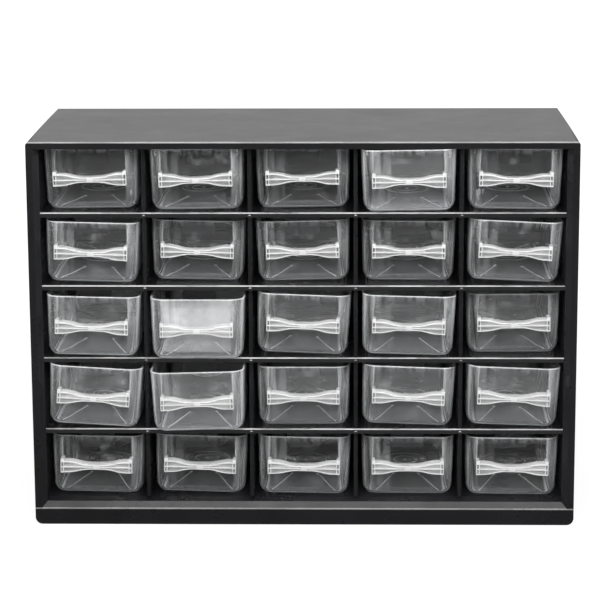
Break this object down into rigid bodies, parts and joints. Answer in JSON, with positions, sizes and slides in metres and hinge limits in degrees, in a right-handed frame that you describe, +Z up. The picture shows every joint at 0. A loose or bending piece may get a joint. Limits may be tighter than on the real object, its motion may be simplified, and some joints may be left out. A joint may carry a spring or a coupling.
{
  "type": "parts bin cabinet",
  "caption": "Black plastic parts cabinet with a grid of shelves and dividers and a clear sliding drawer with a bow-tie pull in every cell.",
  "frame": {"origin": "middle of the underside of the base, on the plane that the cabinet stands on", "axes": "+Z up, the drawers open towards -Y, +X to the right seen from the front"},
  "size_m": [0.375, 0.1789, 0.27],
  "materials": {
    "black_plastic": "moulded black plastic, semi-gloss",
    "cap_plastic": "moulded black plastic, fine satin grain",
    "clear_plastic": "clear moulded polystyrene, polished"
  },
  "bodies": {
    "cabinet": {"housing": "black_plastic", "top_panel": "cap_plastic", "back_panel": "black_plastic", "shelf_1": "black_plastic", "shelf_2": "black_plastic", "shelf_3": "black_plastic", "shelf_4": "black_plastic", "divider_1": "black_plastic", "divider_2": "black_plastic", "divider_3": "black_plastic", "divider_4": "black_plastic"},
    "drawer_r1c1": {"drawer_r1c1": "clear_plastic"},
    "drawer_r1c2": {"drawer_r1c2": "clear_plastic"},
    "drawer_r1c3": {"drawer_r1c3": "clear_plastic"},
    "drawer_r1c4": {"drawer_r1c4": "clear_plastic"},
    "drawer_r1c5": {"drawer_r1c5": "clear_plastic"},
    "drawer_r2c1": {"drawer_r2c1": "clear_plastic"},
    "drawer_r2c2": {"drawer_r2c2": "clear_plastic"},
    "drawer_r2c3": {"drawer_r2c3": "clear_plastic"},
    "drawer_r2c4": {"drawer_r2c4": "clear_plastic"},
    "drawer_r2c5": {"drawer_r2c5": "clear_plastic"},
    "drawer_r3c1": {"drawer_r3c1": "clear_plastic"},
    "drawer_r3c2": {"drawer_r3c2": "clear_plastic"},
    "drawer_r3c3": {"drawer_r3c3": "clear_plastic"},
    "drawer_r3c4": {"drawer_r3c4": "clear_plastic"},
    "drawer_r3c5": {"drawer_r3c5": "clear_plastic"},
    "drawer_r4c1": {"drawer_r4c1": "clear_plastic"},
    "drawer_r4c2": {"drawer_r4c2": "clear_plastic"},
    "drawer_r4c3": {"drawer_r4c3": "clear_plastic"},
    "drawer_r4c4": {"drawer_r4c4": "clear_plastic"},
    "drawer_r4c5": {"drawer_r4c5": "clear_plastic"},
    "drawer_r5c1": {"drawer_r5c1": "clear_plastic"},
    "drawer_r5c2": {"drawer_r5c2": "clear_plastic"},
    "drawer_r5c3": {"drawer_r5c3": "clear_plastic"},
    "drawer_r5c4": {"drawer_r5c4": "clear_plastic"},
    "drawer_r5c5": {"drawer_r5c5": "clear_plastic"}
  },
  "joints": [
    {"name": "drawer_r1c1_slide", "type": "slide", "parent": "cabinet", "child": "drawer_r1c1", "axis": [0, -1, 0], "range_m": [-0.005, 0.1251]},
    {"name": "drawer_r1c2_slide", "type": "slide", "parent": "cabinet", "child": "drawer_r1c2", "axis": [0, -1, 0], "range_m": [-0.009, 0.1211]},
    {"name": "drawer_r1c3_slide", "type": "slide", "parent": "cabinet", "child": "drawer_r1c3", "axis": [0, -1, 0], "range_m": [-0.002, 0.1281]},
    {"name": "drawer_r1c4_slide", "type": "slide", "parent": "cabinet", "child": "drawer_r1c4", "axis": [0, -1, 0], "range_m": [-0.015, 0.1151]},
    {"name": "drawer_r1c5_slide", "type": "slide", "parent": "cabinet", "child": "drawer_r1c5", "axis": [0, -1, 0], "range_m": [-0.009, 0.1211]},
    {"name": "drawer_r2c1_slide", "type": "slide", "parent": "cabinet", "child": "drawer_r2c1", "axis": [0, -1, 0], "range_m": [-0.01, 0.1201]},
    {"name": "drawer_r2c2_slide", "type": "slide", "parent": "cabinet", "child": "drawer_r2c2", "axis": [0, -1, 0], "range_m": [-0.002, 0.1281]},
    {"name": "drawer_r2c3_slide", "type": "slide", "parent": "cabinet", "child": "drawer_r2c3", "axis": [0, -1, 0], "range_m": [-0.004, 0.1261]},
    {"name": "drawer_r2c4_slide", "type": "slide", "parent": "cabinet", "child": "drawer_r2c4", "axis": [0, -1, 0], "range_m": [-0.002, 0.1281]},
    {"name": "drawer_r2c5_slide", "type": "slide", "parent": "cabinet", "child": "drawer_r2c5", "axis": [0, -1, 0], "range_m": [-0.009, 0.1211]},
    {"name": "drawer_r3c1_slide", "type": "slide", "parent": "cabinet", "child": "drawer_r3c1", "axis": [0, -1, 0], "range_m": [-0.015, 0.1151]},
    {"name": "drawer_r3c2_slide", "type": "slide", "parent": "cabinet", "child": "drawer_r3c2", "axis": [0, -1, 0], "range_m": [-0.021, 0.1091]},
    {"name": "drawer_r3c3_slide", "type": "slide", "parent": "cabinet", "child": "drawer_r3c3", "axis": [0, -1, 0], "range_m": [-0.01, 0.1201]},
    {"name": "drawer_r3c4_slide", "type": "slide", "parent": "cabinet", "child": "drawer_r3c4", "axis": [0, -1, 0], "range_m": [-0.013, 0.1171]},
    {"name": "drawer_r3c5_slide", "type": "slide", "parent": "cabinet", "child": "drawer_r3c5", "axis": [0, -1, 0], "range_m": [-0.003, 0.1271]},
    {"name": "drawer_r4c1_slide", "type": "slide", "parent": "cabinet", "child": "drawer_r4c1", "axis": [0, -1, 0], "range_m": [-0.015, 0.1151]},
    {"name": "drawer_r4c2_slide", "type": "slide", "parent": "cabinet", "child": "drawer_r4c2", "axis": [0, -1, 0], "range_m": [-0.025, 0.1051]},
    {"name": "drawer_r4c3_slide", "type": "slide", "parent": "cabinet", "child": "drawer_r4c3", "axis": [0, -1, 0], "range_m": [-0.007, 0.1231]},
    {"name": "drawer_r4c4_slide", "type": "slide", "parent": "cabinet", "child": "drawer_r4c4", "axis": [0, -1, 0], "range_m": [-0.01, 0.1201]},
    {"name": "drawer_r4c5_slide", "type": "slide", "parent": "cabinet", "child": "drawer_r4c5", "axis": [0, -1, 0], "range_m": [-0.012, 0.1181]},
    {"name": "drawer_r5c1_slide", "type": "slide", "parent": "cabinet", "child": "drawer_r5c1", "axis": [0, -1, 0], "range_m": [-0.004, 0.1261]},
    {"name": "drawer_r5c2_slide", "type": "slide", "parent": "cabinet", "child": "drawer_r5c2", "axis": [0, -1, 0], "range_m": [-0.004, 0.1261]},
    {"name": "drawer_r5c3_slide", "type": "slide", "parent": "cabinet", "child": "drawer_r5c3", "axis": [0, -1, 0], "range_m": [-0.006, 0.1241]},
    {"name": "drawer_r5c4_slide", "type": "slide", "parent": "cabinet", "child": "drawer_r5c4", "axis": [0, -1, 0], "range_m": [-0.005, 0.1251]},
    {"name": "drawer_r5c5_slide", "type": "slide", "parent": "cabinet", "child": "drawer_r5c5", "axis": [0, -1, 0], "range_m": [-0.007, 0.1231]}
  ]
}
